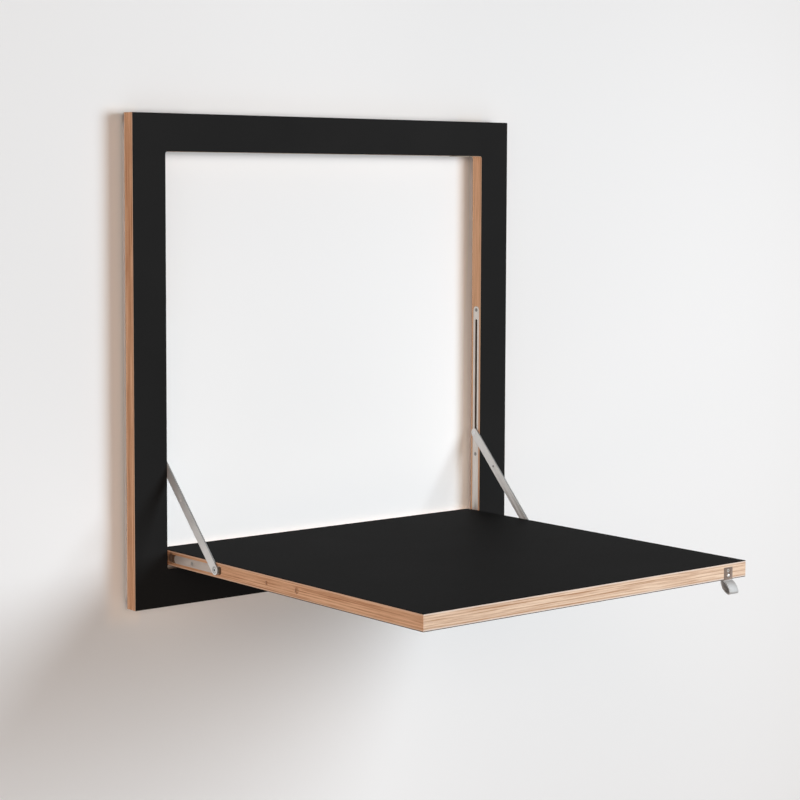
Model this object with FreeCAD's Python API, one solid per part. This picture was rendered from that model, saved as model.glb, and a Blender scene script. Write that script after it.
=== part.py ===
import FreeCAD, Part
import math
import os
from FreeCAD import Placement, Rotation, Vector

# Wall mounted drop leaf table: a square plywood frame that hangs flat on a wall, with a leaf cut from
# its middle that folds down on two pins and is held level by two sliding stays.
#
# Axes: X runs along the wall, -Y points out into the room, Z points up. The pieces are drawn with
# y = 0 in the wall's face and z = 0 at the frame's lower edge. Each is then lowered by
# wall_screw_height, so that the origin lies midway between the two wall screws, in the wall's face.
# All sizes are in millimetres.

# ---- frame and leaf ----
frame_width = 600.0
frame_height = 600.0
stile_width = 46.0
rail_height = 46.0
core_thickness = 18.0
laminate_thickness = 0.8
opening_corner_radius = 3.0
arris = 0.3
wall_gap = 7.4
leaf_side_gap = 3.0
leaf_end_gap = 2.0
hinge_to_leaf_edge = 11.8
turning_clearance = 0.9

# ---- hinges ----
pin_radius = 3.0
pin_running_clearance = 0.05
pin_depth_in_leaf = 26.0
bush_radius = 4.5
bush_length = 14.0
pin_end_gap = 1.5
washer_radius = 6.0
washer_face_gap = 0.3

# ---- stays ----
stay_pivot_distance = 110.0
stay_length = 160.0
stay_width = 12.0
stay_thickness = 2.0
dimple_distance = 102.0
dimple_radius = 2.2
dimple_proud = 0.35
rivet_radius = 2.0
rivet_head_radius = 3.6
rivet_hollow_radius = 0.9
rivet_running_clearance = 0.08
rivet_tail_radius = 3.2
rivet_tail_height = 1.0
stay_pin_radius = 2.0
stay_pin_head_radius = 3.0
stay_pin_proud = 0.2

# ---- plates let into the edges ----
plate_thickness = 1.5
base_plate_width = 10.0
base_plate_start = 20.0
base_plate_end_margin = 8.0
base_groove_start = 12.0
base_groove_end_margin = 11.5
base_screw_from_hinge = 59.0
track_plate_width = 11.4
track_groove_width = 12.0
track_plate_foot = 3.0
track_plate_head = 20.2
track_slot_width = 4.4
track_slot_margin = 4.0
track_low_screw_below_pin = 29.5
track_high_screw_above_pin = 15.0
inlay_clearance = 0.1

# ---- sliders ----
slider_length = 16.0
slider_width = 7.4
slider_depth = 6.5
slider_clearance = 0.3
slider_stud_radius = 1.9

# ---- catch and finger pull ----
catch_from_leaf_end = 30.5
catch_width = 15.0
catch_plate_height = 14.5
catch_strip_thickness = 1.2
ball_radius = 2.5
ball_setback = 0.8
ball_height = 4.8
ball_clearance = 0.05
barrel_radius = 3.5
barrel_length = 13.0
barrel_floor = 1.0
spring_coil_radius = 1.9
spring_wire_radius = 0.25
spring_turns = 6
catch_screw_height = 10.6
strike_width = 28.0
strike_depth = 13.0
strike_thickness = 0.8
strike_front_margin = 0.6
strike_hole_radius = 2.9
strike_pocket_depth = 3.0
strike_screw_offset = 9.5

# ---- wall fixing ----
rail_length = 420.0
rail_sheet = 1.5
hook_play = 0.4
wall_screw_below_top = 32.0
wall_screw_spacing = 320.0
wall_screw_hole_radius = 2.6
wall_rail_foot_below_top = 38.0
wall_rail_web_below_top = 26.0
hook_seat_below_top = 16.0
hook_rail_end_below_top = 3.0
hook_lip_length = 7.5
hook_screw_positions = (-180.0, -60.0, 60.0, 180.0)
bumper_radius = 12.0
bumper_inset = 30.0
bumper_height = 21.0

# ---- screws ----
small_head_radius = 2.7
small_shank_radius = 1.3
small_screw_length = 14.0
catch_head_radius = 2.2
catch_shank_radius = 1.1
catch_screw_length = 14.0
pan_head_radius = 3.0
pan_head_height = 1.6
pan_shank_radius = 1.6
pan_screw_length = 15.0
bumper_screw_sink = 2.0
cross_arm = 0.55
cross_depth = 0.8

# ---- worked out from the sizes above ----
panel = core_thickness + 2 * laminate_thickness
back_y = -wall_gap
front_y = back_y - panel
mid_y = (front_y + back_y) / 2
opening_half = frame_width / 2 - stile_width
leaf_half = opening_half - leaf_side_gap
hinge_z = rail_height + leaf_end_gap + hinge_to_leaf_edge
leaf_length = frame_height - 2 * rail_height - 2 * leaf_end_gap
leaf_front_y = mid_y + hinge_to_leaf_edge - leaf_length
leaf_back_y = mid_y + hinge_to_leaf_edge
leaf_top_z = hinge_z + panel / 2
leaf_bottom_z = hinge_z - panel / 2
stay_inner = leaf_half + (leaf_side_gap - stay_thickness) / 2
stay_outer = stay_inner + stay_thickness
plate_floor = opening_half + plate_thickness
open_pin_z = hinge_z + math.sqrt(stay_length ** 2 - stay_pivot_distance ** 2)
closed_pin_z = hinge_z + stay_pivot_distance + stay_length
stay_pivot_y = mid_y - stay_pivot_distance
catch_x = leaf_half - catch_from_leaf_end
ball_z = leaf_bottom_z + ball_height
catch_screw_z = leaf_bottom_z + catch_screw_height
wall_screw_height = frame_height - wall_screw_below_top
wall_rail_foot = frame_height - wall_rail_foot_below_top
wall_rail_web = frame_height - wall_rail_web_below_top
hook_seat = frame_height - hook_seat_below_top
hook_rail_top = frame_height - hook_rail_end_below_top
out_of_front = Vector(0, -1, 0)
towards_wall = Vector(0, 1, 0)


def leaf_back_radius():
    """Radius of the leaf's lower back edge that clears the bottom rail by turning_clearance as it turns."""
    reach = hinge_to_leaf_edge + leaf_end_gap - turning_clearance
    half = panel / 2
    s = hinge_to_leaf_edge + half - reach
    q = hinge_to_leaf_edge ** 2 + half ** 2 - reach ** 2
    return s - math.sqrt(s * s - q)


# ---- shape helpers ----
def block(x, y, z):
    """A box from pairs of limits."""
    low = Vector(min(x), min(y), min(z))
    return Part.makeBox(abs(x[1] - x[0]), abs(y[1] - y[0]), abs(z[1] - z[0]), low)


def rod(radius, start, end):
    return Part.makeCylinder(radius, (end - start).Length, start, end - start)


def across(x0, x1, y, z, radius):
    """A cylinder along X."""
    return rod(radius, Vector(x0, y, z), Vector(x1, y, z))


def link(start, end, width, x0, x1):
    """A round-ended bar in a plane across X, from one end's centre (y, z) to the other's."""
    r = width / 2
    a = Vector(x0, start[0], start[1])
    b = Vector(x0, end[0], end[1])
    along = (b - a).normalize()
    side = Vector(1, 0, 0).cross(along) * r
    edges = [
        Part.LineSegment(a + side, b + side).toShape(),
        Part.Arc(b + side, b + along * r, b - side).toShape(),
        Part.LineSegment(b - side, a - side).toShape(),
        Part.Arc(a - side, a - along * r, a + side).toShape(),
    ]
    return Part.Face(Part.Wire(edges)).extrude(Vector(x1 - x0, 0, 0))


def groove_y(width, y_near, y_far, x0, x1):
    """A round-ended groove along Y at the hinge's height, between its two far ends."""
    r = width / 2
    return link((y_near - r, hinge_z), (y_far + r, hinge_z), width, x0, x1)


def groove_z(width, z_low, z_high, x0, x1):
    """A round-ended groove along Z in the middle of the panel's thickness."""
    r = width / 2
    return link((mid_y, z_low + r), (mid_y, z_high - r), width, x0, x1)


def mirrored(shape):
    return shape.mirror(Vector(0, 0, 0), Vector(1, 0, 0))


def both_sides(shape):
    return [mirrored(shape), shape]


def cut_all(shape, tools):
    return shape.cut(Part.makeCompound(tools))


def soften(shape, axis, value):
    """Chamfer the edges that lie in the plane where axis has this value."""
    def on_plane(edge):
        return all(abs(getattr(v.Point, axis) - value) < 1e-6 for v in edge.Vertexes)
    return shape.makeChamfer(arris, [e for e in shape.Edges if on_plane(e)])


def placed(shape, at, direction):
    """Turn a shape drawn with +Z out of the surface to point along direction, at a point."""
    shape.Placement = Placement(at, Rotation(Vector(0, 0, 1), direction))
    return shape


# ---- screws ----
def countersunk_body(head, shank, length):
    """A countersunk screw without its recess: its head's top is at z = 0 and it points down."""
    depth = head - shank
    cone = Part.makeCone(shank, head, depth, Vector(0, 0, -depth))
    stem = Part.makeCylinder(shank, length - depth, Vector(0, 0, -length))
    return cone.fuse(stem).removeSplitter()


def pan_body(head, height, shank, length):
    """A pan head screw without its recess: the underside of its head is at z = 0."""
    top = Part.makeCylinder(head, height)
    rim = [e for e in top.Edges if all(v.Z > height / 2 for v in e.Vertexes)]
    top = top.makeFillet(height / 2, rim)
    return top.fuse(Part.makeCylinder(shank, length, Vector(0, 0, -length))).removeSplitter()


def with_cross(body, head, top):
    """The same screw with a cross recess in its head."""
    reach = head * 0.55
    long = Part.makeBox(2 * reach, cross_arm, cross_depth, Vector(-reach, -cross_arm / 2, top - cross_depth))
    wide = Part.makeBox(cross_arm, 2 * reach, cross_depth, Vector(-cross_arm / 2, -reach, top - cross_depth))
    return body.cut(long.fuse(wide))


def small_body():
    return countersunk_body(small_head_radius, small_shank_radius, small_screw_length)


def small_screw():
    return with_cross(small_body(), small_head_radius, 0)


# ---- places of the screws ----
def track_screw_heights():
    return (open_pin_z - track_low_screw_below_pin, closed_pin_z + track_high_screw_above_pin)


def track_screws(make):
    into_room = Vector(-1, 0, 0)
    return [placed(make(), Vector(opening_half, mid_y, z), into_room) for z in track_screw_heights()]


def base_screw(make):
    return placed(make(), Vector(leaf_half, mid_y - base_screw_from_hinge, hinge_z), Vector(1, 0, 0))


def strike_screws(make):
    z = frame_height - rail_height - strike_thickness
    y = front_y + strike_front_margin + strike_depth / 2
    spots = [catch_x - strike_screw_offset, catch_x + strike_screw_offset]
    return [placed(make(), Vector(x, y, z), Vector(0, 0, -1)) for x in spots]


def hook_body():
    return pan_body(pan_head_radius, pan_head_height, pan_shank_radius, pan_screw_length)


def hook_screws(make):
    z = (hook_seat + rail_sheet + hook_rail_top) / 2
    y = back_y + rail_sheet
    return [placed(make(), Vector(x, y, z), towards_wall) for x in hook_screw_positions]


def bumper_spots():
    x = frame_width / 2 - bumper_inset
    return [-x, x]


def bumper_screws(make):
    return [placed(make(), Vector(x, -bumper_screw_sink, bumper_height), towards_wall)
            for x in bumper_spots()]


def catch_body():
    return countersunk_body(catch_head_radius, catch_shank_radius, catch_screw_length)


def catch_screw_at(make):
    return placed(make(), Vector(catch_x, leaf_front_y, catch_screw_z), out_of_front)


# ---- the fixed frame ----
def opening_tool(y0, y1):
    """The square opening, with its routed corners."""
    tool = block((-opening_half, opening_half), (y0, y1), (rail_height, frame_height - rail_height))
    corners = [e for e in tool.Edges if abs(e.tangentAt(e.FirstParameter).y) > 0.99]
    return tool.makeFillet(opening_corner_radius, corners)


def frame_layer(y0, y1):
    sheet = block((-frame_width / 2, frame_width / 2), (y0, y1), (0, frame_height))
    return sheet.cut(opening_tool(y0 - 1, y1 + 1))


def track_groove(x0, x1):
    return groove_z(track_groove_width, rail_height + track_plate_foot - inlay_clearance,
                    closed_pin_z + track_plate_head + inlay_clearance, x0, x1)


def slider_channel():
    reach = slider_length / 2 + 1.0
    half = slider_width / 2 + slider_clearance
    depth = slider_depth + slider_clearance
    return block((plate_floor, plate_floor + depth), (mid_y - half, mid_y + half),
                 (open_pin_z - reach, closed_pin_z + reach))


def closed_ball_y():
    """Where the ball's centre lies when the leaf is shut."""
    return mid_y + ball_z - hinge_z


def frame_plywood():
    core = frame_layer(front_y + laminate_thickness, back_y - laminate_thickness)
    side = [
        track_groove(opening_half - 1, plate_floor),
        slider_channel(),
        across(opening_half - 1, opening_half + bush_length, mid_y, hinge_z, bush_radius),
    ]
    side += track_screws(small_body)
    tools = side + [mirrored(t) for t in side]
    rail_face = frame_height - rail_height
    tools.append(rod(strike_hole_radius, Vector(catch_x, closed_ball_y(), rail_face - 1),
                     Vector(catch_x, closed_ball_y(), rail_face + strike_pocket_depth)))
    tools += strike_screws(small_body)
    tools += hook_screws(hook_body)
    tools += bumper_screws(small_body)
    return cut_all(core, tools)


def frame_front_laminate():
    return soften(frame_layer(front_y, front_y + laminate_thickness), "y", front_y)


def frame_rear_laminate():
    sheet = soften(frame_layer(back_y - laminate_thickness, back_y), "y", back_y)
    return cut_all(sheet, hook_screws(hook_body) + bumper_screws(small_body))


def track_plate():
    """The long inlaid strip that guides the stay's pin and locates the hinge bush."""
    r = (track_groove_width - track_plate_width) / 2
    plate = groove_z(track_plate_width, rail_height + track_plate_foot + r,
                     closed_pin_z + track_plate_head - r, opening_half, plate_floor)
    slot = groove_z(track_slot_width, open_pin_z - track_slot_width / 2 - track_slot_margin,
                    closed_pin_z + track_slot_width / 2 + inlay_clearance,
                    opening_half - 1, plate_floor + 1)
    hole = across(opening_half - 1, plate_floor + 1, mid_y, hinge_z, bush_radius)
    return cut_all(plate, [slot, hole] + track_screws(small_body))


def hinge_bush():
    outer = across(opening_half, opening_half + bush_length, mid_y, hinge_z, bush_radius)
    bore = across(opening_half - 1, opening_half + bush_length + 1, mid_y, hinge_z,
                  pin_radius + pin_running_clearance)
    return outer.cut(bore)


def hinge_washer():
    x0 = leaf_half + washer_face_gap
    x1 = opening_half - washer_face_gap
    ring = across(x0, x1, mid_y, hinge_z, washer_radius)
    bore = across(x0 - 1, x1 + 1, mid_y, hinge_z, pin_radius + pin_running_clearance)
    return ring.cut(bore)


def strike_plate():
    rail_face = frame_height - rail_height
    y0 = front_y + strike_front_margin
    plate = block((catch_x - strike_width / 2, catch_x + strike_width / 2), (y0, y0 + strike_depth),
                  (rail_face - strike_thickness, rail_face))
    uprights = [e for e in plate.Edges if abs(e.tangentAt(e.FirstParameter).z) > 0.99]
    plate = plate.makeFillet(2.0, uprights)
    hole = rod(strike_hole_radius, Vector(catch_x, closed_ball_y(), rail_face - 5),
               Vector(catch_x, closed_ball_y(), rail_face + 1))
    return cut_all(plate, [hole] + strike_screws(small_body))


# ---- wall fixing ----
def joggled_rail(flat_y, lip_y, web_z, flat_end, lip_end):
    """A Z-section rail: a flat against the wall or frame, a web, and an offset lip."""
    up = 1 if flat_end > web_z else -1
    web = block((-rail_length / 2, rail_length / 2), (min(flat_y + lip_y), max(flat_y + lip_y)),
                (web_z, web_z + rail_sheet))
    flat_start = web_z if up > 0 else web_z + rail_sheet
    lip_start = web_z + rail_sheet if up > 0 else web_z
    flat = block((-rail_length / 2, rail_length / 2), flat_y, (flat_start, flat_end))
    lip = block((-rail_length / 2, rail_length / 2), lip_y, (lip_start, lip_end))
    return web.fuse([flat, lip]).removeSplitter()


def lip_offset():
    """How far each rail's lip stands off its flat, so that the two lips pass with play."""
    return (wall_gap + hook_play) / 2 + 0.1


def wall_rail():
    lip = lip_offset()
    rail = joggled_rail((-rail_sheet, 0.0), (-lip - rail_sheet, -lip),
                        wall_rail_web, wall_rail_foot, hook_seat)
    holes = [rod(wall_screw_hole_radius, Vector(x, 1, wall_screw_height),
                 Vector(x, -rail_sheet - 1, wall_screw_height))
             for x in (-wall_screw_spacing / 2, wall_screw_spacing / 2)]
    return cut_all(rail, holes)


def frame_hook_rail():
    lip = back_y + lip_offset()
    rail = joggled_rail((back_y, back_y + rail_sheet), (lip, lip + rail_sheet),
                        hook_seat, hook_rail_top, hook_seat - hook_lip_length)
    return cut_all(rail, hook_screws(hook_body))


def wall_bumper(x):
    """A round pad that keeps the frame's foot the same distance off the wall as the rails do."""
    pad = rod(bumper_radius, Vector(x, 0, bumper_height), Vector(x, back_y, bumper_height))
    edge = [e for e in pad.Edges if all(abs(v.Y) < 1e-6 for v in e.Vertexes) and e.Closed]
    pad = pad.makeChamfer(1.0, edge[:1])
    well = rod(small_head_radius, Vector(x, 1, bumper_height), Vector(x, -bumper_screw_sink, bumper_height))
    return cut_all(pad, [well] + bumper_screws(small_body))


# ---- the leaf ----
def leaf_blank():
    blank = block((-leaf_half, leaf_half), (leaf_front_y, leaf_back_y), (leaf_bottom_z, leaf_top_z))
    low_back = [e for e in blank.Edges
                if all(abs(v.Y - leaf_back_y) < 1e-6 and abs(v.Z - leaf_bottom_z) < 1e-6 for v in e.Vertexes)]
    return blank.makeFillet(leaf_back_radius(), low_back)


def leaf_layer(z0, z1):
    reach = leaf_length + frame_width
    return leaf_blank().common(block((-reach, reach), (-reach, reach), (z0, z1)))


def catch_recess():
    half = catch_width / 2 + inlay_clearance
    top = leaf_bottom_z + catch_plate_height + inlay_clearance
    return block((catch_x - half, catch_x + half), (leaf_front_y - 1, leaf_front_y + catch_strip_thickness),
                 (leaf_bottom_z - 1, top))


def barrel_back_y():
    return leaf_front_y + catch_strip_thickness + barrel_length


def barrel_blank():
    return rod(barrel_radius, Vector(catch_x, leaf_front_y + catch_strip_thickness, ball_z),
               Vector(catch_x, barrel_back_y(), ball_z))


def stay_recess(distance, radius, depth):
    """A shallow round clearance in the leaf's edge, at a distance from the hinge."""
    return across(leaf_half - depth, leaf_half + 1, mid_y - distance, hinge_z, radius)


def leaf_plywood():
    core = leaf_layer(leaf_bottom_z + laminate_thickness, leaf_top_z - laminate_thickness)
    pivot = mid_y - stay_pivot_distance
    floor = leaf_half - plate_thickness
    pocket = floor - rivet_tail_height - 0.6
    side = [
        groove_y(base_plate_width + 2 * inlay_clearance, mid_y - base_groove_start,
                 pivot - base_groove_end_margin, floor, leaf_half + 1),
        across(leaf_half - pin_depth_in_leaf, leaf_half + 1, mid_y, hinge_z, pin_radius),
        across(pocket, leaf_half, pivot, hinge_z, rivet_tail_radius + 0.4),
        stay_recess(stay_pivot_distance + dimple_distance, dimple_radius + 0.4, 1.5),
        stay_recess(stay_pivot_distance + stay_length, stay_pin_head_radius + 1.0, 1.5),
        base_screw(small_body),
    ]
    tools = side + [mirrored(t) for t in side]
    return cut_all(core, tools + [catch_recess(), barrel_blank(), catch_screw_at(catch_body)])


def leaf_top_laminate():
    return soften(leaf_layer(leaf_top_z - laminate_thickness, leaf_top_z), "z", leaf_top_z)


def leaf_bottom_laminate():
    sheet = soften(leaf_layer(leaf_bottom_z, leaf_bottom_z + laminate_thickness), "z", leaf_bottom_z)
    return sheet.cut(catch_recess())


def hinge_pin():
    end = opening_half + bush_length - pin_end_gap
    pin = across(leaf_half - pin_depth_in_leaf, end, mid_y, hinge_z, pin_radius)
    tip = [e for e in pin.Edges if e.Closed and all(abs(v.X - end) < 1e-6 for v in e.Vertexes)]
    return pin.makeChamfer(0.6, tip)


def stay_base_plate():
    pivot = mid_y - stay_pivot_distance
    plate = groove_y(base_plate_width, mid_y - base_plate_start, pivot - base_plate_end_margin,
                     leaf_half - plate_thickness, leaf_half)
    hole = across(leaf_half - plate_thickness - 1, leaf_half + 1, pivot, hinge_z, rivet_radius)
    return cut_all(plate, [hole, base_screw(small_body)])


def stay_rivet():
    """A semi-tubular rivet: flush head in the stay, collar, shank and turned tail behind the plate."""
    y = stay_pivot_y
    back = leaf_half - plate_thickness
    head_depth = rivet_head_radius - rivet_radius
    shank = across(back - rivet_tail_height, stay_outer - head_depth, y, hinge_z, rivet_radius)
    head = Part.makeCone(rivet_radius, rivet_head_radius, head_depth,
                         Vector(stay_outer - head_depth, y, hinge_z), Vector(1, 0, 0))
    collar = across(leaf_half, stay_inner - rivet_running_clearance, y, hinge_z, rivet_tail_radius)
    tail = across(back - rivet_tail_height, back, y, hinge_z, rivet_tail_radius)
    hollow = across(stay_outer - stay_thickness, stay_outer + 1, y, hinge_z, rivet_hollow_radius)
    return shank.fuse([head, collar, tail]).removeSplitter().cut(hollow)


# ---- the stays and their sliders ----
def stay_arm():
    """A flat steel link with a pressed dimple, drawn level from its rivet and then raised to its slope."""
    arm = link((0, 0), (stay_length, 0), stay_width, stay_inner, stay_outer)
    gap = rivet_running_clearance
    head_depth = rivet_head_radius - rivet_radius
    hole = across(stay_inner - 1, stay_outer + 1, 0, 0, rivet_radius + gap)
    sink = Part.makeCone(rivet_radius + gap, rivet_head_radius + gap, head_depth,
                         Vector(stay_outer - head_depth, 0, 0), Vector(1, 0, 0))
    pin_hole = across(stay_inner - 1, stay_outer + 1, stay_length, 0, stay_pin_radius)
    ball = (dimple_radius ** 2 + dimple_proud ** 2) / (2 * dimple_proud)
    centre = Vector(stay_inner - dimple_proud + ball, dimple_distance, 0)
    bump = Part.makeSphere(ball, centre).common(
        block((stay_inner - 1, stay_inner + 0.5), (0, stay_length), (-stay_width, stay_width)))
    dent = Part.makeSphere(dimple_radius, Vector(stay_outer + dimple_radius / 2, dimple_distance, 0))
    arm = cut_all(arm.fuse(bump), [hole, sink, pin_hole, dent])
    slope = math.degrees(math.acos(stay_pivot_distance / stay_length))
    arm.rotate(Vector(0, 0, 0), Vector(1, 0, 0), slope)
    arm.translate(Vector(0, stay_pivot_y, hinge_z))
    return arm


def stay_pin():
    """The pin riveted in the stay's upper end; its low head clears the leaf when shut."""
    shank = across(stay_inner, stay_outer, mid_y, open_pin_z, stay_pin_radius)
    head = across(stay_inner - stay_pin_proud, stay_inner, mid_y, open_pin_z, stay_pin_head_radius)
    return shank.fuse(head).removeSplitter()


def slider():
    """The block that runs in the channel behind the slotted plate, with a stud through the slot."""
    x0 = plate_floor + slider_clearance / 2
    half = slider_width / 2
    reach = slider_length / 2
    body = block((x0, x0 + slider_depth), (mid_y - half, mid_y + half),
                 (open_pin_z - reach, open_pin_z + reach))
    ends = [e for e in body.Edges if abs(e.tangentAt(e.FirstParameter).y) > 0.99]
    body = body.makeFillet(1.0, ends)
    stud = across(stay_outer + slider_clearance, x0 + 1, mid_y, open_pin_z, slider_stud_radius)
    return body.fuse(stud).removeSplitter()


# ---- the catch ----
def pull_outline():
    """The folded finger loop's outer edge, seen from the side, below the leaf's front corner."""
    def at(forward, down):
        return Vector(catch_x - catch_width / 2, leaf_front_y - forward, leaf_bottom_z - down)
    t = catch_strip_thickness
    front = Part.Arc(at(0, t), at(5.6, 5.4), at(9.8, 13.0)).toShape()
    tip = Part.Arc(at(9.8, 13.0), at(9.0, 15.6), at(5.8, 15.9)).toShape()
    back = Part.Arc(at(5.8, 15.9), at(-1.5, 10.9), at(-5.0, 2.5)).toShape()
    rise = Part.LineSegment(at(-5.0, 2.5), at(-5.0, 0)).toShape()
    top = Part.LineSegment(at(-5.0, 0), at(0, 0)).toShape()
    down = Part.LineSegment(at(0, 0), at(0, t)).toShape()
    return Part.Wire([front, tip, back, rise, top, down])


def catch_pull():
    """One bent strip: a plate let into the leaf's edge, folded into a finger loop below it."""
    outer = Part.Face(pull_outline())
    inner = outer.makeOffset2D(-catch_strip_thickness)
    loop = outer.cut(inner).extrude(Vector(catch_width, 0, 0))
    plate = block((catch_x - catch_width / 2, catch_x + catch_width / 2),
                  (leaf_front_y, leaf_front_y + catch_strip_thickness),
                  (leaf_bottom_z, leaf_bottom_z + catch_plate_height))
    centre = Vector(catch_x, leaf_front_y + ball_setback, ball_z)
    seat = Part.makeSphere(ball_radius + ball_clearance, centre)
    behind = rod(ball_radius + ball_clearance, centre, centre + Vector(0, 5, 0))
    return cut_all(loop.fuse(plate).removeSplitter(), [seat, behind, catch_screw_at(catch_body)])


def catch_ball():
    return Part.makeSphere(ball_radius, Vector(catch_x, leaf_front_y + ball_setback, ball_z))


def catch_barrel():
    bore = rod(ball_radius + ball_clearance, Vector(catch_x, leaf_front_y, ball_z),
               Vector(catch_x, barrel_back_y() - barrel_floor, ball_z))
    return barrel_blank().cut(bore)


def catch_spring():
    """A coil from the barrel's floor to just behind the ball."""
    start = barrel_back_y() - barrel_floor - spring_wire_radius
    end = leaf_front_y + ball_setback + ball_radius + spring_wire_radius
    height = start - end
    helix = Part.makeHelix(height / spring_turns, height, spring_coil_radius)
    section = Part.Wire(Part.Circle(Vector(spring_coil_radius, 0, 0), Vector(0, 1, 0),
                                    spring_wire_radius).toShape())
    coil = Part.Wire(helix).makePipeShell([section], True, True)
    return placed(coil, Vector(catch_x, start, ball_z), out_of_front)


# ---- writing ----
def write(name, shapes):
    """One STEP file per piece, lowered so that the origin lies between the wall screws."""
    shape = shapes[0] if len(shapes) == 1 else Part.makeCompound(shapes)
    shape = shape.copy()
    shape.translate(Vector(0, 0, -wall_screw_height))
    shape.exportStep("parts/" + name + ".step")


def write_pair(name, shape):
    left, right = both_sides(shape)
    write(name + "_left", [left])
    write(name + "_right", [right])


os.makedirs("parts", exist_ok=True)

write("frame_plywood", [frame_plywood()])
write("frame_front_laminate", [frame_front_laminate()])
write("frame_rear_laminate", [frame_rear_laminate()])
write_pair("track_plate", track_plate())
write_pair("hinge_bush", hinge_bush())
write_pair("hinge_washer", hinge_washer())
side_screws = track_screws(small_screw)
write("track_screws", side_screws + [mirrored(s) for s in side_screws])
write("strike_plate", [strike_plate()])
write("strike_screws", strike_screws(small_screw))
write("wall_rail", [wall_rail()])
write("frame_hook_rail", [frame_hook_rail()])
write("hook_rail_screws", hook_screws(lambda: with_cross(hook_body(), pan_head_radius, pan_head_height)))
for side, place in zip(("left", "right"), bumper_spots()):
    write("wall_bumper_" + side, [wall_bumper(place)])
write("bumper_screws", bumper_screws(small_screw))

write("leaf_plywood", [leaf_plywood()])
write("leaf_top_laminate", [leaf_top_laminate()])
write("leaf_bottom_laminate", [leaf_bottom_laminate()])
write_pair("hinge_pin", hinge_pin())
write_pair("stay_base_plate", stay_base_plate())
write("base_plate_screws", both_sides(base_screw(small_screw)))
write_pair("stay_rivet", stay_rivet())
write("catch_pull", [catch_pull()])
write("catch_screw", [catch_screw_at(lambda: with_cross(catch_body(), catch_head_radius, 0))])
write("catch_barrel", [catch_barrel()])
write("catch_spring", [catch_spring()])
write("catch_ball", [catch_ball()])

write_pair("stay_arm", stay_arm())
write_pair("stay_pin", stay_pin())
write_pair("slider", slider())
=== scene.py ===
import math

import bmesh
import bpy
from mathutils import Matrix, Vector


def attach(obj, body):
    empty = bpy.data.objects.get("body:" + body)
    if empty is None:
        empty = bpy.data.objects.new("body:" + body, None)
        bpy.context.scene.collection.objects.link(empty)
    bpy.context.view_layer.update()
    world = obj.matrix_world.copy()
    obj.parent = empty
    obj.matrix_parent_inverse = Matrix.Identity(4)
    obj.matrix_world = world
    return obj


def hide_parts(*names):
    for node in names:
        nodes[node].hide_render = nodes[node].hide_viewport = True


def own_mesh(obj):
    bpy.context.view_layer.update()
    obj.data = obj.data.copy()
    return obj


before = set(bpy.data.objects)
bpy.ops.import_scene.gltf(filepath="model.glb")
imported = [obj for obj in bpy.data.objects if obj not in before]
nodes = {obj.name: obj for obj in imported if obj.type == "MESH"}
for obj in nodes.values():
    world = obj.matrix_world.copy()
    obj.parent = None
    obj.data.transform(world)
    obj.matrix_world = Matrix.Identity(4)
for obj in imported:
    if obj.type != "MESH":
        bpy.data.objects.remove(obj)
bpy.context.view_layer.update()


# ---- Frame plywood ---------------------------------------------------------------------
# One square ring cut from 18 mm birch plywood: thirteen plies glued crosswise. Laminate hides
# its faces, so only the sawn and sanded edges show, long grain and end grain by turns.

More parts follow.
